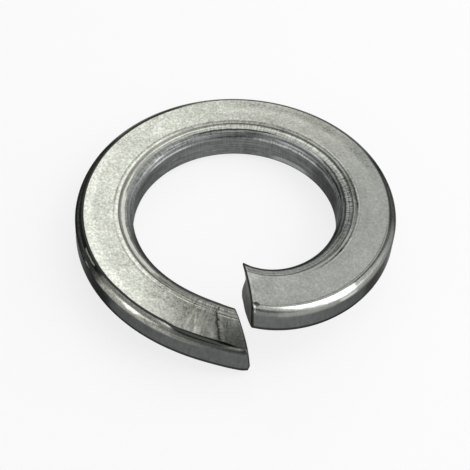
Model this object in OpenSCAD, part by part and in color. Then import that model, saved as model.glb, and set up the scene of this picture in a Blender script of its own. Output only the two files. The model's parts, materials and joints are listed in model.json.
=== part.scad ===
// Spring lock washer for an M36 bolt: one turn of rolled wire, cut through once and sprung apart.
// The bore stands on the Z axis, the lowest corner is at Z = 0 and the cut faces -Y.
// Seen from above the turn climbs clockwise, from the low end left of the cut to the high end right of it.

/* [Ring] */
// Smallest diameter through the middle, where the bolt passes
bore_diameter = 36.5; // [34:0.1:39]
// Largest diameter, over the rounded rim
outer_diameter = 57; // [54:0.1:60]
// Height of the wire between its flat faces
wire_thickness = 6; // [5:0.1:7.5]

/* [Spring] */
// Even climb of the turn from one end to the other
even_rise = 5.8; // [2:0.1:9]
// How far the low end is bent down below the even climb
low_end_drop = 2.8; // [0:0.1:4.5]
// How far the high end is bent up above the even climb
high_end_lift = 3.7; // [0:0.1:4.5]
// Power of the end bends: a higher one keeps them closer to the cut
bend_power = 10; // [6:1:14]

/* [Cut] */
// Width of the slit between the two top edges, half-way across the wire
slit_width = 0.1; // [0.1:0.1:2]
// How far the middle of both top edges bows to the right
cut_bow = 0.25; // [0:0.05:0.6]
// How far the low end's cut runs to the right, from the bore to the rim
low_skew = 1.9; // [0:0.1:3]
// How far the low end's cut runs to the right, from the top of the wire to its bottom
low_lean = 0.75; // [0:0.1:1.5]
// How far the lower corner of the low end's cut is worn back
low_wear = 0.5; // [0:0.05:0.8]
// How far the high end's cut runs to the right, from the bore to the rim
high_skew = 1; // [0:0.1:3]
// How far the high end's cut runs to the right, from the top of the wire to its bottom
high_lean = 0.4; // [0:0.1:1.5]
// How far the sheared tongue stands out of the high end, low on its cut face
tongue = 0.7; // [0:0.05:1]
// How far the inside of the high end is pulled back from the cut, below its top edge
pull_back = 0.8; // [0:0.1:1.5]
// Width of that pulled back stretch
pull_width = 3.6; // [1.5:0.1:4.5]

/* [Outside of the wire] */
// Width of the rounding between the top face and the rim
rim_round_width = 1.35; // [0.8:0.05:1.8]
// Height of the rounding between the top face and the rim
rim_round_height = 2.25; // [1.5:0.05:2.6]
// Width of the rounding between the rim and the bottom face
foot_round_width = 2.6; // [1:0.05:3]
// Height of the rounding between the rim and the bottom face
foot_round_height = 1.7; // [0.8:0.05:2]

/* [Inside of the wire] */
// Distance from the bore to the step where the flat top face ends
land_inset = 2.45; // [2:0.05:3]
// Height of that step
land_step = 0.14; // [0.05:0.01:0.25]
// Distance from the bore to the edge where the shoulder turns down
shoulder_inset = 1.2; // [0.8:0.05:1.6]
// Depth of that edge below the top face
shoulder_depth = 0.4; // [0.3:0.05:0.7]
// Depth below the top face at which the inside wall meets the bore
bulge_depth = 2.6; // [1.5:0.1:3]
// Height of the rounding between the bore and the bottom face
heel_round_height = 2; // [1:0.1:2.2]
// Width of the rounding between the bore and the bottom face
heel_round_width = 0.9; // [0.6:0.1:1.5]
// Distance from the bore to the fine groove in the top face
groove_inset = 3.3; // [3.2:0.05:4]
// Depth of the fine groove
groove_depth = 0.1; // [0.05:0.01:0.2]

/* [Hidden] */
// Sections around the turn, rings on each cut face, pieces in each rounding and points along each flat face
turn_steps = 120;
cut_rings = 3;
round_steps = 5;
flat_points = 3;
// Stock beyond the bore and the rim, so that both are cut as true cylinders
stock = 0.12;
// Half the width of the fine groove
groove_half = 0.16;

bore_r = bore_diameter / 2;
outer_r = outer_diameter / 2;
land_r = bore_r + land_inset;
shoulder_r = bore_r + shoulder_inset;
groove_r = bore_r + groove_inset;
rim_r = outer_r - rim_round_width;
foot_r = outer_r - foot_round_width;
heel_r = bore_r + heel_round_width;
total_rise = even_rise + low_end_drop + high_end_lift;

// Where the tongue, the pulled back inside and the worn corner begin and how far they take to grow,
// as shares of the wire's height or width
tongue_top = 0.3;
tongue_growth = 0.5;
tongue_side = 0.55;
side_growth = 0.5;
pull_top = 0.1;
pull_growth = 0.25;
wear_top = 0.6;
wear_growth = 0.3;

// Smooth growth from 0 at the start to 1 after the length
function growth(x, start, length) = let(t = min(max((x - start) / length, 0), 1)) t * t * (3 - 2 * t);

// Quarter of an ellipse from the end of its level radius to the end of its upright one, or back
function rounding(centre, wide, high, from, to) = [
    for (k = [0:round_steps])
        let(a = from + (to - from) * k / round_steps)
        [centre[0] + wide * cos(a), centre[1] + high * sin(a)]
];

// Points between two ends of a flat face, which let the cuts bow
function along(from, to) = [for (k = [1:flat_points]) from + (to - from) * k / (flat_points + 1)];

// The wire's outline as [radius, height below the top face], from the rim along the bottom, inside and top
rim_corner = rounding([rim_r, -rim_round_height], rim_round_width + stock, rim_round_height, 90, 0);
foot_corner = rounding([foot_r, foot_round_height - wire_thickness],
                       foot_round_width + stock, foot_round_height, 0, -90);
heel_corner = rounding([heel_r, heel_round_height - wire_thickness],
                       heel_round_width + stock, heel_round_height, -90, -180);
bulge = rounding([shoulder_r, -bulge_depth],
                 shoulder_inset + stock, bulge_depth - shoulder_depth, 180, 90);
land_edge = [[land_r, -land_step], [land_r + land_step / 2, 0]];
groove = [for (side = [-1:1]) [groove_r + side * groove_half, side == 0 ? -groove_depth : 0]];
underside = along([foot_r, -wire_thickness], [heel_r, -wire_thickness]);
top_face = along([groove_r + groove_half, 0], [rim_r, 0]);
outline = concat(rim_corner, foot_corner, underside, heel_corner, bulge, land_edge, groove, top_face);
corners = len(outline);

// Height of the top face at a clockwise angle from the front: even climb, and the bend of each end
function climb(angle) =
    let(turn = angle / 180 - 1, bend = pow(min(abs(turn), 1), bend_power))
    even_rise / 2 * turn + (turn < 0 ? -low_end_drop : high_end_lift) * bend;

// Where a point of the outline lies across the wire, from 0 at the bore to 1 at the rim, and down it
function across(p) = (p[0] - bore_r) / (outer_r - bore_r);
function down(p) = -p[1] / wire_thickness;

// Distance of a cut to the right of the front, at a point of the outline
function cut_line(p, skew, lean) =
    skew * (across(p) - 0.5) + cut_bow * (1 - pow(2 * across(p) - 1, 2)) + lean * down(p);

// How far the low end's face is worn back from its cut
function wear(p) = low_wear * growth(down(p), wear_top, wear_growth);

// How far the high end's face stands past its cut: the tongue low down, and the inside that is pulled back
function shear(p) =
    let(pulled = 1 - growth(p[0], bore_r, pull_width),
        kept = 1 - growth(across(p), tongue_side, side_growth))
    tongue * growth(down(p), tongue_top, tongue_growth) * kept * (1 - pulled)
        - pull_back * growth(down(p), pull_top, pull_growth) * pulled;

// Angles at which a point of the wire's section starts at the low end and stops at the high end
function low_angle(p) = asin((wear(p) + slit_width / 2 - cut_line(p, low_skew, low_lean)) / p[0]);
function high_angle(p) =
    360 + asin((shear(p) - slit_width / 2 - cut_line(p, high_skew, high_lean)) / p[0]);

// A point of the section at an angle around the turn
function place(p, angle) = [-p[0] * sin(angle), -p[0] * cos(angle), p[1] + climb(angle)];

// The outline drawn in towards the middle of the section
core = [(bore_r + outer_r) / 2, -wire_thickness / 2];
function drawn_in(share) = [for (p = outline) core + (p - core) * share];

rings = concat(
    [for (k = [1:cut_rings - 1]) [for (p = drawn_in(k / cut_rings)) place(p, low_angle(p))]],
    [for (k = [0:turn_steps], share = [k / turn_steps])
        [for (p = outline) place(p, low_angle(p) * (1 - share) + high_angle(p) * share)]],
    [for (k = [1:cut_rings - 1]) [for (p = drawn_in(1 - k / cut_rings)) place(p, high_angle(p))]]
);
lowest = min([for (ring = rings, p = ring) p[2]]);

module turn_of_wire() {
    hubs = [place(core, low_angle(core)), place(core, high_angle(core))];
    points = [each [for (ring = rings) each ring], each hubs];
    low_hub = len(points) - 2;
    high_hub = len(points) - 1;
    last = (len(rings) - 1) * corners;
    sides = [
        for (k = [0:len(rings) - 2], i = [0:corners - 1])
            let(j = (i + 1) % corners, a = k * corners, b = a + corners)
            each [[a + i, a + j, b + j], [a + i, b + j, b + i]]
    ];
    ends = [
        for (i = [0:corners - 1])
            let(j = (i + 1) % corners)
            each [[low_hub, j, i], [high_hub, last + i, last + j]]
    ];
    translate([0, 0, -lowest]) polyhedron(points, concat(sides, ends));
}

module washer() {
    tall = total_rise + 4 * wire_thickness;
    color("silver")
        intersection() {
            difference() {
                turn_of_wire();
                translate([0, 0, -wire_thickness]) cylinder(h = tall, d = bore_diameter, $fn = 240);
            }
            translate([0, 0, -wire_thickness]) cylinder(h = tall, d = outer_diameter, $fn = 240);
        }
}

washer();
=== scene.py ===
"""Looks of a sprung lock washer: the wire swept by geometry nodes, its zinc plate with light and shade
painted into its colour, and a pale studio.
"""

import json
import math

import bpy
from bpy.props import FloatProperty, FloatVectorProperty, IntProperty, PointerProperty
from mathutils import Matrix, Vector


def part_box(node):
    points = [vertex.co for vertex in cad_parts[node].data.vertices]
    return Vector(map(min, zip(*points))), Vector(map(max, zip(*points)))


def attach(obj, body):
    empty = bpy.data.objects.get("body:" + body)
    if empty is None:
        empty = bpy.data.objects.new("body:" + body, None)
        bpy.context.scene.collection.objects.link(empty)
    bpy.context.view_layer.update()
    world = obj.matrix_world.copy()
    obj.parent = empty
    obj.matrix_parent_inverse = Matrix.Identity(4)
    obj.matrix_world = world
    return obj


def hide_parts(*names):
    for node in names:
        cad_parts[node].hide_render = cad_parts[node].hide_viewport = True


bl_info = {
    "name": "Spring lock washer",
    "version": (1, 0, 0),
    "blender": (4, 5, 0),
    "location": "View3D > Sidebar > Washer",
    "description": "Builds a sprung lock washer around its packed frame, with its finish, stage and camera",
    "category": "Object",
}

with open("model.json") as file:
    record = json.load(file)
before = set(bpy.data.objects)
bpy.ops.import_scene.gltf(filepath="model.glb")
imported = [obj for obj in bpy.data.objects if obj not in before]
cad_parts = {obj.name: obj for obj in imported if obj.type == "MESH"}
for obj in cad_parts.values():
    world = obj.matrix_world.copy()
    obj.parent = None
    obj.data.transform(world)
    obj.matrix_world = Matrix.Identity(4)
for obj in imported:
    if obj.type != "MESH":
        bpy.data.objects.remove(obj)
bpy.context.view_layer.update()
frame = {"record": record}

NODE = "washer"
LOWEST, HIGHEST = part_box(NODE)
BORE = next(mount for mount in frame["record"]["mounts"] if mount["name"] == "bore")
MM = 0.001
WIRE_THICKNESS = 6 * MM
# Steps of the wire's outline, in metres: fine where lines are rolled into it, coarser on its flats
FINE_STEP = 0.06 * MM
ROUND_STEP = 0.13 * MM
FLAT_STEP = 0.3 * MM
# Where the worn corner, the tongue and the pulled back inside of the cuts begin down the wire's height, and
# how far they take to grow, as shares of it
WEAR_SPAN = (0.6, 0.3)
TONGUE_SPAN = (0.3, 0.5)
PULL_SPAN = (0.1, 0.25)
# The same for the tongue across the wire's width, and for the horn along the turn and across the wire
TONGUE_SIDE = (0.55, 0.5)
HORN_TRAVEL = (0.985, 0.015)
HORN_SIDE = (-0.05, 0.25)
# Share of the section, and of the turn, over which the edges of the cuts are rounded
EDGE_SHARE = 0.04
END_SHARE = 0.002
# Share of the section over which the finish changes from the rolled surface to the cut face
CUT_EDGE = 0.1
# Swellings of the rolled surface to the metre
UNEVEN_SCALE = 260.0


def length(name, description, value, least=0.0, most=0.1):
    """A size in metres that the sidebar shows in the scene's unit."""
    return FloatProperty(name=name, description=description, default=value, min=least, max=most,
                         precision=5, subtype="DISTANCE", unit="LENGTH")


def share(name, description, value, most=1.0):
    """A plain factor."""
    return FloatProperty(name=name, description=description, default=value, min=0.0, max=most)


def colour(name, description, value):
    """A plain colour."""
    return FloatVectorProperty(name=name, description=description, default=value, size=3, min=0.0, max=1.0,
                               subtype="COLOR")


def angle(name, description, degrees):
    """An angle, given in degrees."""
    return FloatProperty(name=name, description=description, default=math.radians(degrees), subtype="ANGLE",
                         unit="ROTATION")


def whole_number(name, description, value, least, most):
    """A number of parts."""
    return IntProperty(name=name, description=description, default=value, min=least, max=most)


class WireSection(bpy.types.PropertyGroup):
    """The rolled section of the wire"""
    thickness: length("Thickness", "Height of the wire between its flat faces", WIRE_THICKNESS)
    rim_round_width: length("Rim rounding width", "From the top face to the rim", 1.35 * MM)
    rim_round_height: length("Rim rounding height", "From the top face to the rim", 2.25 * MM)
    foot_round_width: length("Foot rounding width", "From the rim to the underside", 2.6 * MM)
    foot_round_height: length("Foot rounding height", "From the rim to the underside", 1.7 * MM)
    land_inset: length("Land inset", "From the bore to the step where the flat top face ends", 2.45 * MM)
    land_step: length("Land step", "Height of that step", 0.14 * MM)
    shoulder_inset: length("Shoulder inset", "From the bore to where the shoulder turns down", 1.2 * MM)
    shoulder_depth: length("Shoulder depth", "Depth of that edge below the top face", 0.4 * MM)
    bulge_depth: length("Bulge depth", "Depth at which the inside wall meets the bore", 2.6 * MM)
    heel_round_height: length("Heel rounding height", "From the bore to the underside", 1.2 * MM)
    heel_round_width: length("Heel rounding width", "From the bore to the underside", 0.5 * MM)
    groove_inset: length("Groove inset", "From the bore to the fine groove in the top face", 3.3 * MM)
    groove_depth: length("Groove depth", "Depth of the fine groove", 0.025 * MM)
    groove_half: length("Groove half width", "Half the width of the fine groove", 0.16 * MM)
    stock: length("Rolled stock", "Reach of the roundings past the bore and the rim, before these are cut",
                  0.12 * MM)


class WireTurn(bpy.types.PropertyGroup):
    """Inputs of the geometry nodes that sweep the wire once round the bore"""
    bore_radius: length("Bore radius", "Radius of the bore", BORE["dims"]["r_mm"] * MM)
    rim_radius: length("Rim radius", "Radius over the rim", (HIGHEST.x - LOWEST.x) / 2)
    thickness: length("Wire thickness", "Height of the wire between its flat faces", WIRE_THICKNESS)
    even_rise: length("Even rise", "Even climb from one end to the other", 5.8 * MM)
    low_drop: length("Low end drop", "How far the low end is bent down below the even climb", 2.8 * MM)
    high_lift: length("High end lift", "How far the high end is bent up above the even climb", 3.7 * MM)
    bend_power: share("Bend power", "A higher one keeps the end bends closer to the cut", 10, 14)
    slit: length("Slit", "Width of the cut between the two top edges", 0.1 * MM)
    cut_bow: length("Cut bow", "How far the middle of both top edges bows to the right", 0.25 * MM)
    low_skew: length("Low skew", "How far the low end's cut runs right, from the bore to the rim", 1.9 * MM)
    low_lean: length("Low lean", "How far the low end's cut runs right, from top to bottom", 0.75 * MM)
    low_wear: length("Low wear", "How far the lower corner of the low end is worn back", 0.5 * MM)
    high_skew: length("High skew", "How far the high end's cut runs right, from the bore to the rim", 1 * MM)
    high_lean: length("High lean", "How far the high end's cut runs right, from top to bottom", 0.4 * MM)
    tongue: length("Tongue", "How far the tongue stands out low on the high end's face", 0.7 * MM)
    pull_back: length("Pull back", "How far the inside of the high end's face is pulled back", 0.8 * MM)
    pull_width: length("Pull width", "Width of the pulled back stretch", 3.6 * MM)
    horn: length("Horn", "How far the burr on the high end's inner corner stands up", 0.2 * MM)
    edge_round: length("Edge rounding", "Rounding of the edges around both cut faces", 0.12 * MM)
    crease: angle("Crease", "Angle from the front of the crease across the low end, at the bore", 11.5)
    crease_slant: angle("Crease slant", "How much nearer the cut the crease is at the rim", 3.5)
    unevenness: length("Unevenness", "Depth of the rolled wire's uneven surface", 0.03 * MM)
    turn_steps: whole_number("Turn steps", "Sections around the turn", 400, 60, 480)
    cut_rings: whole_number("Cut rings", "Rings on each cut face", 12, 3, 30)


class PlatedFinish(bpy.types.PropertyGroup):
    """Colours and roughness of the zinc plate, and the colours that its painted shade and painted highlights
    are mixed towards
    """
    face: colour("Face", "Colour of the bright top face", (0.69, 0.705, 0.625))
    wall: colour("Wall", "Colour of the rolled rim and inside wall, where they shine", (0.62, 0.635, 0.63))
    dull: colour("Dull", "Colour of the sheared cut faces", (0.4, 0.405, 0.4))
    # The line colour is also the darkest painted shade: painted dark reflections and painted shade of walls,
    # edges and hollows go towards it
    line: colour("Line", "Colour of the dark rolled lines and sheared edges", (0.035, 0.037, 0.035))
    edge_tint: colour("Edge tint", "Light that the plate keeps where it is seen edge on", (0.35, 0.35, 0.35))
    # Colour of the painted highlights where the painted light goes past full, and of the brightest specks of
    # grain
    painted_highlight: colour("Burnished", "Colour of the streaks that the rolls burnished", (0.93, 0.94, 0.88))
    roughness: share("Roughness", "Middle roughness of the plate", 0.34)


class Studio(bpy.types.PropertyGroup):
    """Floor, lights and camera"""
    floor_colour: colour("Floor", "Colour of the floor and backdrop", (0.93, 0.93, 0.93))
    whiteness: share("Whiteness", "How much of the floor near the washer shows as plain white", 0.8)
    room: share("Room light", "Strength of the room's even light", 0.2, 4)
    back_light: share("Back light", "Radiance of the panel behind the washer", 1.25, 20)
    far_light: share("Far light", "Radiance of the panel behind on the right", 0.7, 20)
    side_light: share("Side light", "Radiance of the large panel on the right", 1.7, 20)
    top_light: share("Top light", "Radiance of the panel above", 1.8, 20)
    glint_light: share("Glint light", "Radiance of the small low panel on the left", 1.8, 20)
    lens: FloatProperty(name="Lens", description="Focal length", default=0.0937, subtype="DISTANCE_CAMERA")
    azimuth: angle("Azimuth", "Turn of the camera around the washer, from the front", -6.31)
    elevation: angle("Elevation", "Height of the camera above the washer's level", 47.02)
    roll: angle("Roll", "Turn of the camera about its own line of sight", 4.4)
    distance: length("Distance", "From the camera to its target", 217.3 * MM, most=2.0)
    target_height: length("Target height", "Height of the target on the bore's axis", 11.74 * MM)
    shift_x: FloatProperty(name="Shift X", description="Framing to the side", default=-0.0018)
    shift_y: FloatProperty(name="Shift Y", description="Framing up and down", default=-0.0668)


class Field:
    """A socket of a node tree that arithmetic continues as math nodes."""

    def __init__(self, tree, socket):
        self.tree = tree
        self.socket = socket

    def math(self, operation, *others):
        node = self.tree.nodes.new("ShaderNodeMath")
        node.operation = operation
        for socket, value in zip(node.inputs, (self, *others)):
            plug(self.tree, socket, value)
        return Field(self.tree, node.outputs[0])

    def __add__(self, other):
        return self.math("ADD", other)

    def __radd__(self, other):
        return self.math("ADD", other)

    def __sub__(self, other):
        return self.math("SUBTRACT", other)

    def __rsub__(self, other):
        return (-self).math("ADD", other)

    def __mul__(self, other):
        return self.math("MULTIPLY", other)

    def __rmul__(self, other):
        return self.math("MULTIPLY", other)

    def __truediv__(self, other):
        return self.math("DIVIDE", other)

    def __neg__(self):
        return self.math("MULTIPLY", -1.0)

    def squared(self):
        return self.math("MULTIPLY", self)

    def clamped(self):
        return self.math("MINIMUM", 1.0).math("MAXIMUM", 0.0)

    def growth(self, start, span):
        """Smooth growth from 0 at the start to 1 after the span, which clamps itself."""
        node = self.tree.nodes.new("ShaderNodeMapRange")
        node.interpolation_type = "SMOOTHSTEP"
        node.clamp = False
        plug(self.tree, node.inputs["Value"], self)
        plug(self.tree, node.inputs["From Min"], start)
        plug(self.tree, node.inputs["From Max"], start + span)
        return Field(self.tree, node.outputs["Result"])

    def band(self, start, stop, blur):
        """1 between start and stop, fading over the blur at both."""
        return self.growth(start - blur / 2, blur) - self.growth(stop - blur / 2, blur)

    def line(self, half, blur):
        """1 where this is nearer to 0 than half, fading over the blur on both sides."""
        return 1.0 - self.math("ABSOLUTE").growth(half, blur)

    def mixed(self, other, amount):
        """This value where the amount is 0, the other one where it is 1."""
        return self + (other - self) * amount


def plug(tree, socket, value):
    """Gives a socket a field, another socket or a plain value."""
    if isinstance(value, Field):
        value = value.socket
    if isinstance(value, bpy.types.NodeSocket):
        tree.links.new(value, socket)
    else:
        socket.default_value = value


def add_node(tree, kind, inputs=None, **settings):
    """Adds a node, sets its own settings and fills its inputs by name."""
    node = tree.nodes.new(kind)
    for name, value in settings.items():
        setattr(node, name, value)
    for name, value in (inputs or {}).items():
        plug(tree, node.inputs[name], value)
    return node


def vector(tree, x, y, z):
    return add_node(tree, "ShaderNodeCombineXYZ", {"X": x, "Y": y, "Z": z}).outputs[0]


def noise(tree, place, scale, detail=2.0, roughness=0.5):
    """Noise from 0 to 1 with features of about 1 / scale metres."""
    node = add_node(tree, "ShaderNodeTexNoise",
                    {"Vector": place, "Scale": scale, "Detail": detail, "Roughness": roughness})
    return Field(tree, node.outputs[0])


def of_points(tree, value):
    """The value as the points have it, for attributes that are kept on the corners of faces."""
    return add_node(tree, "GeometryNodeFieldOnDomain", data_type="FLOAT_VECTOR", domain="POINT",
                    inputs={"Value": value}).outputs[0]


def rounding(centre, wide, high, start, stop):
    """Part of an ellipse, with points about one round step apart, from one angle in degrees to another."""
    pieces = math.ceil(math.radians(abs(stop - start)) * max(wide, high) / ROUND_STEP)
    turns = (math.radians(start + (stop - start) * step / pieces) for step in range(pieces + 1))
    return [Vector((centre[0] + wide * math.cos(turn), centre[1] + high * math.sin(turn))) for turn in turns]


def straight(start, stop, step):
    """Points between two ends, without the ends."""
    start, stop = Vector(start), Vector(stop)
    pieces = math.ceil((stop - start).length / step)
    return [start.lerp(stop, count / pieces) for count in range(1, pieces)]


def wire_outline(section, turn):
    """Named stretches of (radius, height): from the underside's middle to the bore, the top and the rim."""
    bore, rim, deep = turn.bore_radius, turn.rim_radius, -section.thickness
    middle = ((bore + rim) / 2, deep)
    heel = rounding((bore + section.heel_round_width, deep + section.heel_round_height),
                    section.heel_round_width + section.stock, section.heel_round_height, -90, -180)
    bulge_height = section.bulge_depth - section.shoulder_depth
    bulge = rounding((bore + section.shoulder_inset, -section.bulge_depth),
                     section.shoulder_inset + section.stock, bulge_height, 180, 90)
    land_edge = bore + section.land_inset
    land = [(land_edge, -section.land_step), (land_edge + section.land_step / 2, 0)]
    groove = bore + section.groove_inset
    groove_start = (groove - section.groove_half, 0)
    groove_stop = (groove + section.groove_half, 0)
    groove_bottom = (groove, -section.groove_depth)
    rim_corner = rounding((rim - section.rim_round_width, -section.rim_round_height),
                          section.rim_round_width + section.stock, section.rim_round_height, 90, 0)
    foot_corner = rounding((rim - section.foot_round_width, deep + section.foot_round_height),
                           section.foot_round_width + section.stock, section.foot_round_height, 0, -90)
    return {
        "underside": [middle, *straight(middle, heel[0], FLAT_STEP)],
        "heel": heel,
        "inside": straight(heel[-1], bulge[0], ROUND_STEP),
        "bulge": bulge,
        "shoulder": straight(bulge[-1], land[0], FINE_STEP),
        "step": [land[0], *straight(*land, FINE_STEP), land[1]],
        "lip": straight(land[1], groove_start, FINE_STEP),
        "groove": [groove_start, *straight(groove_start, groove_bottom, FINE_STEP), groove_bottom,
                   *straight(groove_bottom, groove_stop, FINE_STEP), groove_stop],
        "face": straight(groove_stop, rim_corner[0], FLAT_STEP),
        "rim": rim_corner,
        "wall": straight(rim_corner[-1], foot_corner[0], ROUND_STEP),
        "foot": [*foot_corner, *straight(foot_corner[-1], middle, FLAT_STEP)],
    }


def run_lengths(stretches):
    """Where each named stretch of the outline starts, as a length along it, and the whole length."""
    starts, travelled, last = {}, 0.0, None
    for name, points in stretches.items():
        for count, point in enumerate(points):
            travelled += (Vector(point) - last).length if last else 0.0
            last = Vector(point)
            if count == 0:
                starts[name] = travelled
    starts["end"] = travelled
    return starts


def blank_wire(stretches, turn):
    """The outline as loose points in the X-Z plane, cut to the bore and the rim, for the nodes to sweep."""
    points, lengths, travelled, last = [], [], 0.0, None
    for point in (Vector(place) for run in stretches.values() for place in run):
        travelled += (point - last).length if last else 0.0
        last = point
        lengths.append(travelled)
        points.append((min(max(point.x, turn.bore_radius), turn.rim_radius), 0.0, point.y))
    mesh = bpy.data.meshes.new("washer")
    mesh.from_pydata(points, [], [])
    mesh.attributes.new("outline_length", "FLOAT", "POINT").data.foreach_set("value", lengths)
    return bpy.data.objects.new("washer_body", mesh)


def climb(around, size):
    """Height of the top face at an angle around the turn: even climb, and the bend of each end."""
    turn = around / math.pi - 1.0
    near = turn.math("ABSOLUTE").math("MINIMUM", 1.0)
    bend = near.math("POWER", size["bend_power"])
    low = turn.math("LESS_THAN", 0.0)
    reach = size["high_lift"].mixed(-size["low_drop"], low)
    return size["even_rise"] / 2.0 * turn + reach * bend


def creased(around, across, size):
    """The climb, made straight between the low end's cut and its crease, which runs aslant over the wire."""
    crease = size["crease"] - size["crease_slant"] * across
    low, high = climb(crease * 0.0, size), climb(crease, size)
    slope = (high - low) / crease
    inside = around.math("MAXIMUM", 0.0)
    before = around.math("LESS_THAN", crease)
    return climb(around, size).mixed(low + slope * inside, before)


def sweep_tree(outline_points, group, starts):
    """Geometry nodes that sweep the outline once round the bore, with the climb, and close both cut faces."""
    tree = bpy.data.node_groups.new("sprung_turn", "GeometryNodeTree")
    tree.interface.new_socket("Outline", in_out="INPUT", socket_type="NodeSocketGeometry")
    labels = {}
    for key, prop in group.bl_rna.properties.items():
        if prop.type in {"FLOAT", "INT"}:
            labels[key] = prop.name
            kind = "NodeSocketInt" if prop.type == "INT" else "NodeSocketFloat"
            tree.interface.new_socket(prop.name, in_out="INPUT", socket_type=kind)
    tree.interface.new_socket("Finish", in_out="INPUT", socket_type="NodeSocketMaterial")
    tree.interface.new_socket("Washer", in_out="OUTPUT", socket_type="NodeSocketGeometry")
    given = tree.nodes.new("NodeGroupInput")
    size = {key: Field(tree, given.outputs[label]) for key, label in labels.items()}

    rings, steps = size["cut_rings"], size["turn_steps"]
    columns = outline_points + 1
    rows = steps + rings * 2 + 1
    blank = add_node(tree, "GeometryNodeMeshGrid",
                     {"Vertices X": rows, "Vertices Y": columns, "Size X": 1.0, "Size Y": 1.0})
    index = Field(tree, tree.nodes.new("GeometryNodeInputIndex").outputs[0])
    row = (index / columns).math("FLOOR")
    column = index - row * columns
    corner = column.math("MODULO", outline_points)
    place = add_node(tree, "GeometryNodeInputPosition").outputs[0]
    sample = add_node(tree, "GeometryNodeSampleIndex", {"Geometry": given.outputs["Outline"], "Value": place,
                                                        "Index": corner}, data_type="FLOAT_VECTOR")
    kept_length = add_node(tree, "GeometryNodeInputNamedAttribute", {"Name": "outline_length"},
                           data_type="FLOAT")
    long_sample = add_node(tree, "GeometryNodeSampleIndex", {"Geometry": given.outputs["Outline"],
                                                             "Value": kept_length.outputs["Attribute"],
                                                             "Index": corner}, data_type="FLOAT")
    closing = column.math("GREATER_THAN", outline_points - 0.5)
    along_outline = Field(tree, long_sample.outputs[0]).mixed(starts["end"], closing)
    parts = add_node(tree, "ShaderNodeSeparateXYZ", {"Vector": sample.outputs[0]})
    radius, height = Field(tree, parts.outputs["X"]), Field(tree, parts.outputs["Z"])

    from_low = (row / rings).clamped()
    from_high = ((steps + rings * 2 - row) / rings).clamped()
    drawn = 1.0 - (1.0 - from_low.math("MINIMUM", from_high)).squared()
    travel = ((row - rings) / steps).clamped()
    core_radius = (size["bore_radius"] + size["rim_radius"]) / 2.0
    core_height = size["thickness"] / -2.0
    radius = core_radius.mixed(radius, drawn)
    height = core_height.mixed(height, drawn)

    across = (radius - size["bore_radius"]) / (size["rim_radius"] - size["bore_radius"])
    down = -height / size["thickness"]
    bow = size["cut_bow"] * (1.0 - (across * 2.0 - 1.0).squared())
    low_cut = size["low_skew"] * (across - 0.5) + bow + size["low_lean"] * down
    high_cut = size["high_skew"] * (across - 0.5) + bow + size["high_lean"] * down
    wear = size["low_wear"] * down.growth(*WEAR_SPAN)
    pulled = 1.0 - (radius - size["bore_radius"]).growth(0.0, size["pull_width"])
    kept = 1.0 - across.growth(*TONGUE_SIDE)
    shear = (size["tongue"] * down.growth(*TONGUE_SPAN) * kept * (1.0 - pulled)
             - size["pull_back"] * down.growth(*PULL_SPAN) * pulled)
    rounded = size["edge_round"] * drawn.growth(1.0 - EDGE_SHARE, EDGE_SHARE)
    low_rounded = rounded * (1.0 - travel.growth(0.0, END_SHARE))
    high_rounded = rounded * travel.growth(1.0 - END_SHARE, END_SHARE)
    half_slit = size["slit"] / 2.0
    low_around = ((wear + half_slit - low_cut + low_rounded) / radius).math("ARCSINE")
    high_around = ((shear - half_slit - high_cut - high_rounded) / radius).math("ARCSINE") + math.tau
    around = low_around.mixed(high_around, travel)
    corner_lift = size["horn"] * travel.growth(*HORN_TRAVEL) * (1.0 - across.growth(*HORN_SIDE))
    level = height + creased(around, across, size) + corner_lift
    swept = vector(tree, -radius * around.math("SINE"), -radius * around.math("COSINE"), level)
    turned = add_node(tree, "GeometryNodeSetPosition", {"Geometry": blank.outputs["Mesh"], "Position": swept})

    uv = of_points(tree, vector(tree, around * core_radius, along_outline, 0.0))
    marked = add_node(tree, "GeometryNodeStoreNamedAttribute",
                      {"Geometry": turned.outputs[0], "Name": "UVMap", "Value": uv},
                      data_type="FLOAT2", domain="CORNER")
    for name, value in (("cut_face", 1.0 - drawn.growth(1.0 - CUT_EDGE, CUT_EDGE)), ("travel", travel)):
        marked = add_node(tree, "GeometryNodeStoreNamedAttribute",
                          {"Geometry": marked.outputs[0], "Name": name, "Value": value},
                          data_type="FLOAT", domain="POINT")
    closed = add_node(tree, "GeometryNodeMergeByDistance", {"Geometry": marked.outputs[0], "Distance": 1e-6})
    normal = add_node(tree, "GeometryNodeInputNormal").outputs[0]
    surface_place = add_node(tree, "GeometryNodeInputPosition").outputs[0]
    push = (noise(tree, surface_place, UNEVEN_SCALE, 3.0) - 0.5) * size["unevenness"]
    offset = add_node(tree, "ShaderNodeVectorMath", {0: normal, "Scale": push}, operation="SCALE")
    uneven = add_node(tree, "GeometryNodeSetPosition",
                      {"Geometry": closed.outputs[0], "Offset": offset.outputs[0]})
    smooth = add_node(tree, "GeometryNodeSetShadeSmooth",
                      {"Geometry": uneven.outputs[0], "Shade Smooth": True})
    real = add_node(tree, "GeometryNodeRealizeInstances", {"Geometry": smooth.outputs[0]})
    plated = add_node(tree, "GeometryNodeSetMaterial",
                      {"Geometry": real.outputs[0], "Material": given.outputs["Finish"]})
    out = tree.nodes.new("NodeGroupOutput")
    tree.links.new(plated.outputs[0], out.inputs["Washer"])
    return tree, labels


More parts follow.
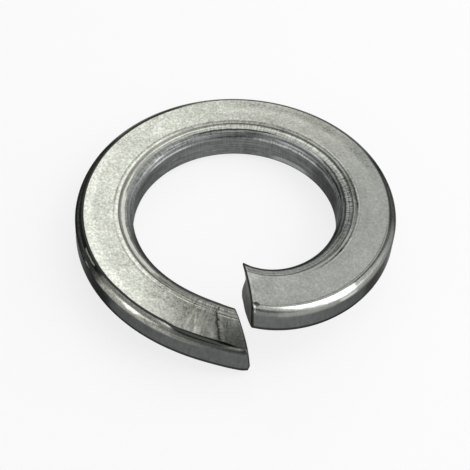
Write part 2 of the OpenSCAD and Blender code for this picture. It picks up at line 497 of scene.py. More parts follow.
class Skin:
    """Where a point of the washer's surface lies, and the noises that its finish is drawn with.

    Angles are in degrees round the turn: 0 at the low end, left of the cut, and 360 at the high end.
    Offsets are in millimetres along the wire's outline, past the start of a named stretch of it.
    """

    def __init__(self, tree, starts, core_radius):
        self.tree = tree
        self.starts = starts
        self.place = add_node(tree, "ShaderNodeTexCoord").outputs["Object"]
        laid_flat = add_node(tree, "ShaderNodeUVMap", uv_map="UVMap").outputs[0]
        parts = add_node(tree, "ShaderNodeSeparateXYZ", {"Vector": laid_flat})
        self.around = Field(tree, parts.outputs["X"])
        self.down = Field(tree, parts.outputs["Y"])
        self.turned = self.around * (math.degrees(1.0) / core_radius)
        self.cut = self.kept("cut_face")
        self.travel = self.kept("travel")
        self.grain = self.speckle(5200.0, detail=3.0, roughness=0.6)
        self.mottle = self.speckle(2300.0, detail=4.0, roughness=0.65)
        self.smear = self.speckle(850.0, detail=3.0, roughness=0.6)
        self.cloud = self.speckle(220.0, detail=3.0)
        self.streaks = self.drawn(along=80.0, across=5200.0, roughness=0.65)
        self.lines = self.drawn(along=70.0, across=3600.0).growth(0.38, 0.24) - 0.5
        self.strokes = self.drawn(along=2500.0, across=350.0, detail=2.0).growth(0.36, 0.28) - 0.5
        self.waves = self.drawn(along=0.0, across=650.0)
        ragged_edge, wandering_angle = 0.35 * MM, 9.0
        self.ragged = self.down + (self.speckle(700.0, 3.0, 0.6) - 0.5) * ragged_edge
        self.wandering = self.turned + (self.speckle(350.0, 3.0, 0.6) - 0.5) * wandering_angle
        self.margin = self.ragged.band(self.at("face", 3.3), self.at("rim", -0.2), 1.2 * MM)
        self.on_top = self.band("shoulder", 0.4, 7.5, 0.4)
        self.left_half = self.turned.band(-30.0, 165.0, 20.0)

    def kept(self, name):
        """A value that the geometry nodes kept on the mesh."""
        attribute = add_node(self.tree, "ShaderNodeAttribute", attribute_name=name)
        return Field(self.tree, attribute.outputs["Fac"])

    def speckle(self, scale, detail=2.0, roughness=0.5):
        """Even noise, with that many features to the metre."""
        return noise(self.tree, self.place, scale, detail, roughness)

    def drawn(self, along, across, detail=3.0, roughness=0.6):
        """Noise with that many features to the metre along the turn and across the wire."""
        flat = vector(self.tree, self.around * along, self.down * across, 0.0)
        return noise(self.tree, flat, 1.0, detail, roughness)

    def at(self, stretch, offset):
        """Length along the outline of a place past the start of a stretch."""
        return self.starts[stretch] + offset * MM

    def band(self, stretch, top, bottom, blur=0.2):
        """1 between two places along the outline, all round the turn."""
        return self.down.band(self.at(stretch, top), self.at(stretch, bottom), blur * MM)

    def worn_band(self, stretch, top, bottom, blur=0.2):
        """The same with a ragged edge."""
        return self.ragged.band(self.at(stretch, top), self.at(stretch, bottom), blur * MM)

    def patch(self, first, last, fade, stretch, top, bottom, blur=0.2):
        """1 on a ragged patch from one angle to another and between two places along the outline."""
        return self.wandering.band(first, last, fade) * self.worn_band(stretch, top, bottom, blur)

    def rim_spot(self, degrees, offset, half_degrees, half_length):
        """1 on a round spot of the rim."""
        aside = (self.turned - degrees) / half_degrees
        below = (self.down - self.at("rim", offset)) / (half_length * MM)
        return 1.0 - (aside.squared() + below.squared()).growth(0.5, 0.6)


def face_tone_and_painted_light(skin):
    """Mottled zinc of the flat top, with lines by the bore, in painted light: painted shade at the ends, at
    the back right, on the inner half and along the groove, painted highlights along the rim's margin and the
    lip at the left.
    """
    turned = skin.turned
    coarse = 1.0 - turned.growth(150.0, 120.0) * 0.45
    mottled = (skin.mottle.growth(0.3, 0.4) - 0.5) * 0.44 * coarse
    clouded = (skin.cloud.growth(0.35, 0.4) - 0.5) * 0.1
    grained = (skin.grain - 0.5) * 0.95 * coarse
    smeared = (skin.smear - 0.5) * (0.35 + turned.band(12.0, 62.0, 16.0) * 0.25)
    tone_and_painted_light = 0.76 - mottled - clouded + grained + smeared
    # Painted shade at the back right, and a little painted light past the low end
    tone_and_painted_light = tone_and_painted_light * (1.0 - turned.band(175.0, 300.0, 70.0) * 0.1 + turned.growth(20.0, 60.0) * 0.05)
    # Painted highlight along the rim's margin at the left, painted shade on it at the back
    margin_highlight = turned.band(28.0, 120.0, 30.0) * 0.16
    margin_shade = turned.band(185.0, 255.0, 30.0) * 0.2
    tone_and_painted_light = tone_and_painted_light + skin.margin * (margin_highlight - margin_shade)
    # Painted shade where the low end bends down
    low_end = (1.0 - turned.growth(20.0, 26.0)) * 0.2
    bend = turned.band(11.0, 42.0, 10.0) * 0.1
    tone_and_painted_light = tone_and_painted_light * (1.0 - low_end - bend)
    # Painted shade on the inner half of the top at the front and on the right
    inner_half = skin.ragged.band(skin.at("lip", -0.1), skin.at("face", 1.8), 1.0 * MM)
    front_face_shade, right_face_shade = turned.band(-8.0, 44.0, 12.0) * 0.1, turned.band(165.0, 315.0, 30.0) * 0.07
    tone_and_painted_light = tone_and_painted_light - inner_half * (front_face_shade + right_face_shade)
    # Painted highlight on the lip at the left, painted shade on it at the back and right
    lit_lip = skin.patch(45.0, 150.0, 20.0, "lip", 0.15, 0.7)
    shaded_lip = skin.patch(150.0, 315.0, 20.0, "lip", -0.1, 0.75)
    tone_and_painted_light = tone_and_painted_light + lit_lip * 0.2 - shaded_lip * 0.2
    low_corner = skin.patch(1.0, 10.0, 2.0, "shoulder", 0.6, 2.3)
    high_corner = skin.patch(353.0, 358.6, 2.0, "shoulder", 0.3, 3.0)
    tone_and_painted_light = tone_and_painted_light + low_corner * (skin.streaks - 0.45) * 2.2 + high_corner * 0.12
    rolled_turns = turned.band(220.0, 318.0, 30.0) + turned.band(8.0, 62.0, 12.0) * 0.7
    tone_and_painted_light = tone_and_painted_light + skin.band("shoulder", 0.8, 2.7, 0.3) * rolled_turns * skin.lines * 0.45
    # Painted shade in the fine groove, and over the top by the high end
    groove_shade = skin.patch(95.0, 325.0, 20.0, "groove", -0.2, 0.3)
    tone_and_painted_light = tone_and_painted_light - groove_shade * 0.1 - turned.growth(336.0, 16.0) * 0.2
    groove_shade_arcs = turned.band(92.0, 154.0, 10.0) + turned.band(270.0, 326.0, 16.0)
    tone_and_painted_light = tone_and_painted_light - skin.band("groove", -0.05, 0.35, 0.15) * groove_shade_arcs * 0.2
    tone_and_painted_light = tone_and_painted_light - skin.band("groove", 0.2, 0.4, 0.12) * turned.band(45.0, 300.0, 20.0) * 0.12
    specks = skin.speckle(3300.0).growth(0.62, 0.06)
    return tone_and_painted_light - specks * (0.06 + skin.margin * turned.band(180.0, 262.0, 16.0) * 0.35)


def shoulder_tone_and_painted_light(skin):
    """Narrow shoulder by the bore: ticks across it, a painted highlight along its ridge, painted light at its
    back and painted shade on its right.
    """
    turned, patch = skin.turned, skin.patch
    ticks = skin.strokes * (0.12 + turned.band(165.0, 290.0, 20.0) * 0.22)
    tone_and_painted_light = 0.42 + ticks + skin.lines * 0.3 + (skin.mottle - 0.5) * 0.6
    # Painted highlight along the shoulder's ridge, narrowing and fading towards the back
    left_line = patch(46.0, 102.0, 8.0, "shoulder", 0.2, 0.82, 0.1) * 0.85
    narrower_line = patch(98.0, 117.0, 12.0, "shoulder", 0.5, 0.84, 0.1) * 0.75
    fading_line = patch(117.0, 150.0, 12.0, "shoulder", 0.56, 0.86, 0.1) * 0.22
    back_line = patch(120.0, 250.0, 12.0, "shoulder", 0.66, 0.92, 0.1) * 0.34
    back = patch(166.0, 286.0, 10.0, "shoulder", 0.2, 0.8) * 0.1
    right = turned.band(240.0, 300.0, 20.0) * 0.12 + patch(262.0, 312.0, 16.0, "shoulder", 0.2, 0.9) * 0.1
    return tone_and_painted_light + left_line + narrower_line + fading_line + back_line + back - right


def inner_tone_and_painted_light(skin):
    """Upright inside wall: streaked, in painted shade that is deepest on the right, with a painted highlight
    at the back right.
    """
    glow = skin.patch(206.0, 230.0, 8.0, "inside", -0.8, 0.15) * 0.25
    tone_and_painted_light = 0.21 + (skin.streaks - 0.5) * 0.25 + skin.lines * 0.12 + skin.strokes * 0.05
    tone_and_painted_light = tone_and_painted_light + (skin.smear - 0.5) * 0.25 + glow
    # Painted shadow on the right of the inside wall
    shadow = skin.wandering.band(236.0, 268.0, 8.0) * 0.5
    return (tone_and_painted_light * (1.0 - shadow) * (1.0 - skin.turned.growth(255.0, 20.0) * 0.4)).clamped()


def bulge_tone_and_painted_light(skin):
    """Bulge under the shoulder: rolled lines, with painted highlights broken by streaks at the back left and
    right, painted shade at the back and right, and deep painted shade towards the front.
    """
    turned, patch, strokes = skin.turned, skin.patch, skin.strokes
    tone_and_painted_light = 0.34 + (skin.streaks - 0.5) * 0.7 + skin.lines * (0.24 + turned.growth(190.0, 40.0) * 0.2)
    tone_and_painted_light = tone_and_painted_light + strokes * 0.1 + (skin.mottle - 0.5) * 0.5
    # Painted highlights at the back left
    left_highlight = patch(124.0, 156.0, 8.0, "bulge", 0.85, 1.25) * (strokes * 0.4 + 0.5)
    left_core = patch(130.0, 150.0, 6.0, "bulge", 0.85, 1.2) * 0.3
    left_fleck = patch(131.0, 137.0, 2.0, "bulge", 1.78, 2.05) * 0.3
    tone_and_painted_light = tone_and_painted_light + left_highlight + left_core + left_fleck
    # Painted shade and a painted highlight at the back
    back_shade = patch(110.0, 197.0, 12.0, "bulge", 1.9, 3.0) * 0.13
    back_line = patch(172.0, 196.0, 8.0, "bulge", 1.25, 1.45) * 0.2
    back_glow = patch(160.0, 202.0, 8.0, "bulge", 1.6, 2.15) * 0.25
    tone_and_painted_light = tone_and_painted_light - back_shade - back_line + back_glow
    # Painted highlights at the back right
    right_glow = patch(200.0, 255.0, 12.0, "bulge", 2.05, 2.7) * 0.36
    right_highlight = patch(194.0, 238.0, 8.0, "bulge", 1.02, 1.42) * (strokes * 0.4 + 0.45)
    right_core = patch(207.0, 235.0, 5.0, "bulge", 1.05, 1.35) * 0.3
    lower_highlight = patch(204.0, 234.0, 8.0, "bulge", 1.75, 2.05) * 0.25
    tone_and_painted_light = tone_and_painted_light + right_glow + right_highlight + right_core + lower_highlight
    # Painted shade on the right, and deep painted shade towards the front
    right_line = patch(244.0, 268.0, 6.0, "bulge", 1.85, 2.15) * 0.25
    right_shade = patch(240.0, 300.0, 10.0, "bulge", 1.4, 3.0) * 0.12
    near_front = 1.0 - turned.band(80.0, 285.0, 34.0)
    return (tone_and_painted_light - right_line - right_shade).clamped() * (1.0 - near_front * 0.78)


def rim_tone_and_painted_light(skin):
    """Rounding from the top to the rim, in painted light: a painted highlight on the bevel at the front left
    with painted glints, painted shade at the left, back and right, and a painted flare at the right.
    """
    turned, patch, mottle = skin.turned, skin.patch, skin.mottle
    tone_and_painted_light = 0.24 + (skin.streaks - 0.5) * 0.2 + (mottle - 0.5) * 0.3 + skin.lines * 0.05
    # Painted highlight and glint on the bevel at the front left
    bevel = patch(25.0, 57.0, 4.0, "rim", 0.1, 1.9, 0.4)
    bevel_top = patch(25.0, 57.0, 4.0, "rim", 0.3, 0.9, 0.3) * 0.42
    bevel_foot = patch(25.0, 58.0, 5.0, "rim", 1.15, 1.9, 0.3) * 0.14
    bevel_glint = turned.band(38.5, 44.5, 3.0) * skin.worn_band("rim", 0.75, 1.45, 0.3) * 0.75
    tone_and_painted_light = tone_and_painted_light + bevel * (0.36 + (mottle - 0.5) * 0.7 + (skin.smear - 0.5) * 0.5)
    tone_and_painted_light = tone_and_painted_light + bevel_top - bevel_foot + bevel_glint
    # Painted highlight by the low end, painted shade and a painted glint at the left
    low_end_highlight = patch(3.0, 27.0, 5.0, "rim", 0.72, 1.3, 0.3) * 0.28
    left_shade = skin.wandering.band(59.0, 130.0, 5.0) * 0.24
    left_glint = turned.band(63.5, 72.0, 1.2) * skin.worn_band("rim", 0.42, 0.68, 0.12) * 1.2
    left_fleck = patch(65.5, 68.5, 1.5, "rim", 1.5, 1.9) * 0.25
    tone_and_painted_light = tone_and_painted_light + low_end_highlight - left_shade + left_glint + left_fleck
    # Painted shade at the back and right, painted glow at the front right
    right_shade = skin.wandering.band(248.0, 284.0, 12.0) * 0.14
    back_shade = skin.wandering.band(185.0, 262.0, 20.0) * 0.08
    right_glow = patch(286.0, 319.0, 8.0, "rim", 0.9, 1.8, 0.4) * 0.14
    flare_halo = patch(316.0, 350.0, 6.0, "rim", 0.7, 2.1, 0.8) * 0.16
    tone_and_painted_light = tone_and_painted_light - right_shade - back_shade + right_glow + flare_halo
    # Painted shade near the low end, with painted light and shade right at its cut
    tone_and_painted_light = tone_and_painted_light * (1.0 - (1.0 - turned.growth(8.0, 16.0)) * 0.35)
    end_light, end_shade = skin.band("rim", -0.3, 0.25) * 0.4, skin.band("rim", 0.3, 0.7) * 0.1
    tone_and_painted_light = tone_and_painted_light + turned.band(-6.0, 5.0, 3.0) * (end_light - end_shade)
    # The painted flare: a near white painted highlight on the rounding at the front right
    flare_foot = skin.at("rim", 1.15) - (turned - 324.0).math("MAXIMUM", 0.0) * (0.03 * MM)
    flare = 1.0 - skin.ragged.growth(flare_foot, 0.32 * MM)
    flare = flare * (skin.wandering.growth(317.5, 4.0) - skin.wandering.growth(341.0, 14.0))
    second_flare = patch(319.5, 325.5, 2.0, "rim", 1.45, 1.95, 0.15) * 0.9
    return tone_and_painted_light.mixed(1.0, flare.math("MAXIMUM", second_flare)).math("MAXIMUM", 0.0)


def wall_tone_and_painted_light(skin):
    """Upright outside wall in painted shade and dark painted reflection, darkest at the left and on the right
    where it turns away, and lighter at the back.
    """
    turned, wandering = skin.turned, skin.wandering
    tone_and_painted_light = 0.145 + (skin.streaks - 0.5) * 0.1 + skin.strokes * 0.03 + (skin.smear - 0.5) * 0.12
    tone_and_painted_light = tone_and_painted_light + turned.growth(300.0, 10.0) * 0.04
    tone_and_painted_light = tone_and_painted_light * (1.0 - wandering.band(51.0, 92.0, 8.0) * 0.8) + turned.band(98.0, 272.0, 20.0) * 0.16
    return tone_and_painted_light * (1.0 - wandering.band(299.0, 312.0, 8.0) * 0.65)


def outer_wall_share(skin):
    """1 on the outside wall, which starts lower on the right than on the left."""
    left = skin.left_half
    wall_start = skin.turned.growth(-4.0, 30.0) * (1.3 * MM)
    start = skin.at("rim", 1.6) - left * MM + wall_start * left
    return skin.ragged.growth(start, 0.9 * MM - left * (0.5 * MM))


def crease_marks(skin):
    """Painted shade in the crease across the low end's top, and the painted highlight beside it."""
    slant = skin.down.growth(skin.at("groove", 0.0), skin.starts["rim"] - skin.starts["groove"]) * 2.6
    crease_place = 11.0 - slant
    way = skin.turned - crease_place + (skin.waves - 0.5) * 3.0 + (skin.mottle - 0.5) * 0.8
    dark = way.line(0.2, 0.55) * skin.on_top * skin.waves.growth(0.15, 0.3)
    light = (way + 1.5).line(0.3, 0.8) * skin.on_top
    return dark, light


def light_marks(skin, crease_light):
    """What scratches and brush marks add to the top and the rim, with painted highlights beside the crease,
    along the high end's cut and by the nick.
    """
    scratch_place = 19.5 - skin.down.growth(skin.at("face", 0.3), 5.0 * MM) * 2.0
    scratch = (skin.turned - scratch_place).line(0.1, 0.8) * skin.band("face", 0.8, 5.2, 0.6)
    # Painted highlight along the high end's cut
    end_light = skin.travel.band(0.995, 0.9968, 0.0006) * skin.band("shoulder", 0.2, 8.2, 0.6)
    end_light = end_light * skin.waves.growth(0.4, 0.2)
    # Painted highlight by the nick
    nick_light = skin.rim_spot(357.5, 1.0, 0.38, 0.8)
    brushed = skin.turned.band(2.0, 24.0, 3.0) * skin.on_top
    brushing = skin.drawn(along=1000.0, across=160.0).growth(0.36, 0.28) - 0.5
    brush_marks = brushed * (skin.strokes * 0.16 + brushing * 0.24)
    return brush_marks + crease_light * 0.16 + scratch * 0.32 + end_light * 0.25 + nick_light * 0.4


def dark_lines(skin, crease_line):
    """How dark the lines are drawn: painted dark reflections along the top's outer edge, painted shade at the
    step, under the shoulder's brow, on the bulge by the high end, the foot and the heel, in the crease and in
    the nick, and darker edges round both cuts.
    """
    turned, band, patch = skin.turned, skin.band, skin.patch
    # Painted dark reflection along the top's outer edge at the front left, and thinner ones on the right
    left_centre = skin.at("rim", 0.24) - turned.growth(23.0, 6.0) * (0.36 * MM)
    left_centre = left_centre + turned.growth(46.0, 12.0) * (0.14 * MM)
    left_half_width = (1.0 - turned.growth(20.0, 8.0)) * turned.growth(2.0, 6.0) * (0.23 * MM) + 0.18 * MM
    left_edge = (skin.down - left_centre).line(left_half_width, 0.12 * MM)
    left_edge = left_edge * skin.left_half * turned.growth(0.0, 5.0)
    front_right_edge = band("rim", -0.28, -0.12, 0.12) * turned.band(285.0, 348.0, 8.0) * 0.5
    back_right_edge = band("rim", -0.1, 0.4) * turned.band(246.0, 286.0, 10.0) * 0.7
    # Painted shade at the step, under the shoulder's brow, on the bulge by the high end, on the foot and on
    # the heel
    step_line = band("step", -0.16, 0.26, 0.12) * (0.42 + turned.growth(195.0, 15.0) * 0.2)
    back_brow = patch(160.0, 206.0, 10.0, "shoulder", -0.2, 0.14, 0.12) * 0.95
    right_brow = patch(236.0, 300.0, 8.0, "shoulder", -0.28, 0.06, 0.15) * 0.9
    high_end_bulge = band("bulge", 2.4, 2.75) * turned.growth(300.0, 15.0) * 0.8
    foot_line = band("foot", -0.06, 1.6) * 0.9
    heel_line = band("heel", -0.2, 0.7) * 0.5
    off_cut = 1.0 - skin.cut
    high_cut_line = skin.travel.growth(0.9973, 0.0006) * off_cut
    low_cut_line = (1.0 - skin.travel.growth(0.0006, 0.0008)) * off_cut * 0.7
    # Painted shade in the nick
    nick = skin.rim_spot(356.8, 0.12, 1.2, 0.48) * 0.9
    dark = left_edge.math("MAXIMUM", front_right_edge + back_right_edge)
    for line in (step_line, back_brow + right_brow, high_end_bulge, foot_line, heel_line, crease_line * 0.78,
                 high_cut_line, low_cut_line, nick):
        dark = dark.math("MAXIMUM", line)
    return dark


def plated_steel(finish, starts, core_radius):
    """Zinc plate over rolled steel with its light and shade painted in: mottled top, streaked walls in
    painted shade, painted dark lines and painted highlights, sheared ends.
    """
    material = bpy.data.materials.new("plated_steel")
    material.use_nodes = True
    tree = material.node_tree
    tree.nodes.clear()
    skin = Skin(tree, starts, core_radius)

    # Grain and mottle of the plate, with painted highlights, painted reflections and painted shade, zone by
    # zone
    tone_and_painted_light = face_tone_and_painted_light(skin)
    tone_and_painted_light = tone_and_painted_light.mixed(shoulder_tone_and_painted_light(skin), skin.band("shoulder", -0.1, 1.3))
    collar = skin.band("shoulder", 0.88, 1.55, 0.1) * skin.turned.band(44.0, 160.0, 24.0)
    tone_and_painted_light = tone_and_painted_light.mixed(0.5 + skin.lines * 0.3 + skin.strokes * 0.1, collar * 0.85)
    inner_wall = 1.0 - skin.ragged.growth(skin.at("bulge", 0.9), 0.4 * MM)
    tone_and_painted_light = tone_and_painted_light.mixed(inner_tone_and_painted_light(skin), inner_wall)
    bulge = skin.ragged.band(skin.at("bulge", 0.9), skin.at("shoulder", -0.05), 0.3 * MM)
    tone_and_painted_light = tone_and_painted_light.mixed(bulge_tone_and_painted_light(skin), bulge)
    rim = skin.down.growth(skin.at("rim", -0.05), 0.2 * MM)
    tone_and_painted_light = tone_and_painted_light.mixed(rim_tone_and_painted_light(skin), rim)
    outer_wall = outer_wall_share(skin)
    tone_and_painted_light = tone_and_painted_light.mixed(wall_tone_and_painted_light(skin), outer_wall)
    crease_line, crease_light = crease_marks(skin)
    tone_and_painted_light = tone_and_painted_light + light_marks(skin, crease_light)
    # Painted shade and dark painted reflections darken everything under them
    tone_and_painted_light = tone_and_painted_light * (1.0 - dark_lines(skin, crease_line))

    walls = inner_wall.math("MAXIMUM", outer_wall).math("MAXIMUM", bulge)
    grey = walls.math("MAXIMUM", skin.turned.growth(180.0, 120.0) * 0.5)
    bright = mix_colour(tree, finish.face[:], finish.wall[:], grey)
    # The painted light sets how far the colour goes from the dark line colour to the bright one, and past
    # full to the painted highlight colour
    paint = mix_colour(tree, finish.line[:], bright, tone_and_painted_light.clamped())
    paint = mix_colour(tree, paint, finish.painted_highlight[:], ((tone_and_painted_light - 0.95) * 2.5).clamped())
    shear_marks, torn = cut_face_marks(skin)
    sheared = (shear_marks - 0.5) * 0.9 + (skin.mottle - 0.5) * torn * 0.9 + torn * 0.12 + 0.16
    sheared = sheared + skin.cut.band(0.02, 0.9, 0.2) * 0.35
    cut_paint = mix_colour(tree, finish.dull[:], finish.line[:], sheared.clamped())
    paint = mix_colour(tree, paint, cut_paint, skin.cut * 0.85)
    rough = skin.grain * 0.12 + skin.cloud * 0.06 + (finish.roughness - 0.09)
    rough = rough + walls * 0.04 + skin.cut * 0.15 - rim * 0.08
    height = skin.grain * 0.35 + skin.mottle * 0.4 + skin.streaks * walls * 0.8 - crease_line * 1.5
    height = height + (shear_marks + skin.mottle * torn * 2.0) * skin.cut
    bump = add_node(tree, "ShaderNodeBump", {"Height": height, "Strength": 0.3, "Distance": 0.03 * MM})
    shader = add_node(tree, "ShaderNodeBsdfPrincipled",
                      {"Base Color": paint, "Metallic": 1.0, "Roughness": rough, "Normal": bump.outputs[0],
                       "Specular Tint": (*finish.edge_tint, 1.0)})
    out = tree.nodes.new("ShaderNodeOutputMaterial")
    tree.links.new(shader.outputs[0], out.inputs["Surface"])
    return material


def cut_face_marks(skin):
    """Upright shear marks of both cut faces, and how torn the metal is, below the smooth upper part."""
    parts = add_node(skin.tree, "ShaderNodeSeparateXYZ", {"Vector": skin.place})
    outward, upright = Field(skin.tree, parts.outputs["Y"]), Field(skin.tree, parts.outputs["Z"])
    marks = noise(skin.tree, vector(skin.tree, 0.0, outward * 3200.0, upright * 420.0), 1.0, 3.0, 0.6)
    high_end_foot = HIGHEST.z - WIRE_THICKNESS
    end_height = upright - skin.travel * high_end_foot + (skin.smear - 0.5) * (2.0 * MM)
    return marks, 1.0 - end_height.growth(2.6 * MM, 1.2 * MM)


def mix_colour(tree, first, second, amount):
    """The first colour where the amount is 0, the second where it is 1."""
    node = tree.nodes.new("ShaderNodeMix")
    node.data_type = "RGBA"
    plug(tree, node.inputs["Factor"], amount)
    for name, value in (("A", first), ("B", second)):
        socket = next(s for s in node.inputs if s.name == name and s.type == "RGBA")
        plug(tree, socket, (*value, 1.0) if isinstance(value, tuple) else value)
    return next(s for s in node.outputs if s.type == "RGBA")


class WASHER_OT_sweep_wire(bpy.types.Operator):
    """Sweeps the rolled wire once round the bore and gives it its finish"""
    bl_idname = "spring_washer.sweep_wire"
    bl_label = "Sweep the wire"

    def execute(self, context):
        scene = context.scene
        section, turn, finish = scene.washer_section, scene.washer_turn, scene.washer_finish
        stretches = wire_outline(section, turn)
        starts = run_lengths(stretches)
        wire = blank_wire(stretches, turn)
        scene.collection.objects.link(wire)
        material = plated_steel(finish, starts, (turn.bore_radius + turn.rim_radius) / 2)
        tree, labels = sweep_tree(len(wire.data.vertices), turn, starts)
        modifier = wire.modifiers.new("sprung_turn", "NODES")
        modifier.node_group = tree
        inputs = {socket.name: socket.identifier for socket in tree.interface.items_tree
                  if socket.in_out == "INPUT"}
        for key, label in labels.items():
            modifier[inputs[label]] = getattr(turn, key)
        modifier[inputs["Finish"]] = material
        evaluated = wire.evaluated_get(context.evaluated_depsgraph_get())
        mesh = bpy.data.meshes.new_from_object(evaluated)
        wire.modifiers.remove(modifier)
        wire.data = mesh
        mesh.name = "washer_body"
        stand_on_frame(mesh)
        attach(wire, "root")
        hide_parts(NODE)
        return {"FINISHED"}


def stand_on_frame(mesh):
    """Lifts the mesh so that its lowest point is where the frame's is."""
    lowest = min(vertex.co.z for vertex in mesh.vertices)
    mesh.transform(Matrix.Translation((0, 0, LOWEST.z - lowest)))


def resting_plane(mesh):
    """Normal and height of the plane on which the washer comes to rest, near the level one."""
    points = [vertex.co.copy() for vertex in mesh.vertices]
    centre = sum(points, Vector()) / len(points)
    low = [point for point in points if point.z < centre.z]

    def lift(tilt):
        normal = Vector((tilt.x, tilt.y, 1.0)).normalized()
        return normal.dot(centre) - min(normal.dot(point) for point in low)

    tilt, step, finest_step = Vector((0.0, 0.0)), 0.06, 0.0005
    best = lift(tilt)
    while step > finest_step:
        tries = [tilt + Vector(way) * step for way in ((1, 0), (-1, 0), (0, 1), (0, -1))]
        lifts = [lift(one) for one in tries]
        if min(lifts) < best:
            best = min(lifts)
            tilt = tries[lifts.index(best)]
        else:
            step /= 2
    normal = Vector((tilt.x, tilt.y, 1.0)).normalized()
    return normal, min(normal.dot(point) for point in low)


class WASHER_OT_set_stage(bpy.types.Operator):
    """Lays the pale floor and backdrop under the resting washer and hangs the light panels"""
    bl_idname = "spring_washer.set_stage"
    bl_label = "Set the stage"

    def execute(self, context):
        studio = context.scene.washer_studio
        washer = bpy.data.objects["washer_body"]
        normal, height = resting_plane(washer.data)
        lay_floor(context, studio, normal, height)
        hang_panel(context, "panel_back", towards=(-0.08, 0.61, 0.79), distance=0.55,
                   width=0.3, height=0.36, radiance=studio.back_light)
        hang_panel(context, "panel_right", towards=(0.807, -0.142, 0.574), distance=0.5,
                   width=0.55, height=0.5, radiance=studio.side_light)
        hang_panel(context, "panel_far_right", towards=(0.5, 0.71, 0.5), distance=0.55,
                   width=0.24, height=0.2, radiance=studio.far_light)
        hang_panel(context, "panel_top", towards=(0.3, -0.1, 0.95), distance=0.5,
                   width=0.4, height=0.4, radiance=studio.top_light)
        hang_panel(context, "panel_left", towards=(-0.81, -0.46, 0.38), distance=0.5,
                   width=0.24, height=0.16, radiance=studio.glint_light)
        world = bpy.data.worlds.new("room")
        world.use_nodes = True
        background = world.node_tree.nodes["Background"]
        background.inputs["Color"].default_value = (1, 1, 1, 1)
        background.inputs["Strength"].default_value = studio.room
        context.scene.world = world
        return {"FINISHED"}


def lay_floor(context, studio, normal, height):
    """A round floor that curves up into a backdrop all round, tilted as the resting washer needs."""
    flat, rise, top, sides, bends = 1.2, 0.4, 0.45, 96, 12
    profile = [(0.0, 0.0), (flat, 0.0)]
    for step in range(1, bends + 1):
        turn = math.radians(90) * step / bends
        profile.append((flat + rise * math.sin(turn), rise * (1 - math.cos(turn))))
    profile.append((flat + rise, top))
    points, faces = [Vector((0, 0, 0))], []
    for radius, z in profile[1:]:
        for side in range(sides):
            turn = math.tau * side / sides
            points.append(Vector((radius * math.cos(turn), radius * math.sin(turn), z)))
    for side in range(sides):
        following = (side + 1) % sides
        faces.append((0, 1 + side, 1 + following))
        for ring in range(len(profile) - 2):
            low, high = 1 + ring * sides, 1 + (ring + 1) * sides
            faces.append((low + side, high + side, high + following, low + following))
    mesh = bpy.data.meshes.new("floor")
    mesh.from_pydata(points, [], faces)
    mesh.shade_smooth()
    turned = Vector((0, 0, 1)).rotation_difference(normal).to_matrix().to_4x4()
    mesh.transform(Matrix.Translation(normal * height) @ turned)
    floor = bpy.data.objects.new("floor", mesh)
    mesh.materials.append(pale_floor(studio))
    context.scene.collection.objects.link(floor)
    return floor


def pale_floor(studio):
    """Pale paper that the camera and reflections see lighter, and white away from the washer."""
    material = bpy.data.materials.new("pale_floor")
    material.use_nodes = True
    tree = material.node_tree
    shader = tree.nodes["Principled BSDF"]
    shader.inputs["Base Color"].default_value = (*studio.floor_colour, 1)
    shader.inputs["Roughness"].default_value = 0.9
    shader.inputs["Specular IOR Level"].default_value = 0.1
    white = add_node(tree, "ShaderNodeEmission", {"Color": (1, 1, 1, 1), "Strength": 1.0})
    rays = add_node(tree, "ShaderNodeLightPath")
    seen = Field(tree, rays.outputs["Is Camera Ray"])
    for kind in ("Is Glossy Ray", "Is Transmission Ray"):
        seen = seen.math("MAXIMUM", rays.outputs[kind])
    place = add_node(tree, "ShaderNodeTexCoord").outputs["Object"]
    distance = add_node(tree, "ShaderNodeVectorMath", {0: place}, operation="LENGTH").outputs["Value"]
    fade_start, fade_length = 0.06, 0.4
    away = Field(tree, distance).growth(fade_start, fade_length)
    share_white = (studio.whiteness + away * (1.0 - studio.whiteness)) * seen
    both = tree.nodes.new("ShaderNodeMixShader")
    plug(tree, both.inputs[0], share_white)
    tree.links.new(shader.outputs[0], both.inputs[1])
    tree.links.new(white.outputs[0], both.inputs[2])
    tree.links.new(both.outputs[0], tree.nodes["Material Output"].inputs["Surface"])
    return material


def hang_panel(context, name, towards, distance, width, height, radiance):
    """A soft light panel in a direction from the washer, which it faces."""
    light = bpy.data.lights.new(name, "AREA")
    light.shape = "RECTANGLE"
    light.size, light.size_y = width, height
    light.energy = radiance * math.pi * width * height
    panel = bpy.data.objects.new(name, light)
    way = Vector(towards).normalized()
    panel.location = way * distance
    panel.rotation_euler = way.to_track_quat("Z", "Y").to_euler()
    panel.visible_camera = False
    context.scene.collection.objects.link(panel)


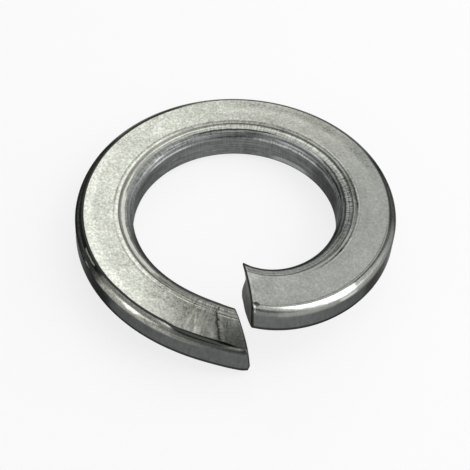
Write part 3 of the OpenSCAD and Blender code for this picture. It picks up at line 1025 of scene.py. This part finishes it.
class WASHER_OT_set_camera(bpy.types.Operator):
    """Places the camera"""
    bl_idname = "spring_washer.set_camera"
    bl_label = "Set the camera"

    def execute(self, context):
        studio = context.scene.washer_studio
        level = math.cos(studio.elevation)
        way = Vector((math.sin(studio.azimuth) * level, -math.cos(studio.azimuth) * level,
                      math.sin(studio.elevation)))
        right = Vector((0, 0, 1)).cross(way).normalized()
        up = way.cross(right)
        right, up = (right * math.cos(studio.roll) + up * math.sin(studio.roll),
                     up * math.cos(studio.roll) - right * math.sin(studio.roll))
        data = bpy.data.cameras.new("camera")
        data.lens = studio.lens / MM
        data.shift_x, data.shift_y = studio.shift_x, studio.shift_y
        camera = bpy.data.objects.new("camera", data)
        target = Vector((0, 0, studio.target_height))
        camera.matrix_world = Matrix.Translation(target + way * studio.distance) @ Matrix(
            (right, up, way)).transposed().to_4x4()
        data.clip_start = 0.01
        context.scene.collection.objects.link(camera)
        context.scene.camera = camera
        context.scene.view_settings.view_transform = "Standard"
        return {"FINISHED"}


class WASHER_PT_sidebar(bpy.types.Panel):
    """Sizes, finish and stage of the washer"""
    bl_label = "Spring lock washer"
    bl_space_type = "VIEW_3D"
    bl_region_type = "UI"
    bl_category = "Washer"

    def draw(self, context):
        for group, operator in (("washer_section", None), ("washer_turn", "spring_washer.sweep_wire"),
                                ("washer_finish", None), ("washer_studio", "spring_washer.set_stage")):
            settings = getattr(context.scene, group)
            box = self.layout.box()
            for key in settings.bl_rna.properties.keys():
                if key not in {"rna_type", "name"}:
                    box.prop(settings, key)
            if operator:
                box.operator(operator)
        self.layout.operator("spring_washer.set_camera")


CLASSES = (WireSection, WireTurn, PlatedFinish, Studio, WASHER_OT_sweep_wire, WASHER_OT_set_stage,
           WASHER_OT_set_camera, WASHER_PT_sidebar)
GROUPS = {"washer_section": WireSection, "washer_turn": WireTurn, "washer_finish": PlatedFinish,
          "washer_studio": Studio}


def register():
    for kind in CLASSES:
        bpy.utils.register_class(kind)
    for name, group in GROUPS.items():
        setattr(bpy.types.Scene, name, PointerProperty(type=group))


def unregister():
    for name in GROUPS:
        delattr(bpy.types.Scene, name)
    for kind in reversed(CLASSES):
        bpy.utils.unregister_class(kind)


def main():
    register()
    bpy.ops.spring_washer.sweep_wire()
    bpy.ops.spring_washer.set_stage()
    bpy.ops.spring_washer.set_camera()


if __name__ == "__main__":
    main()
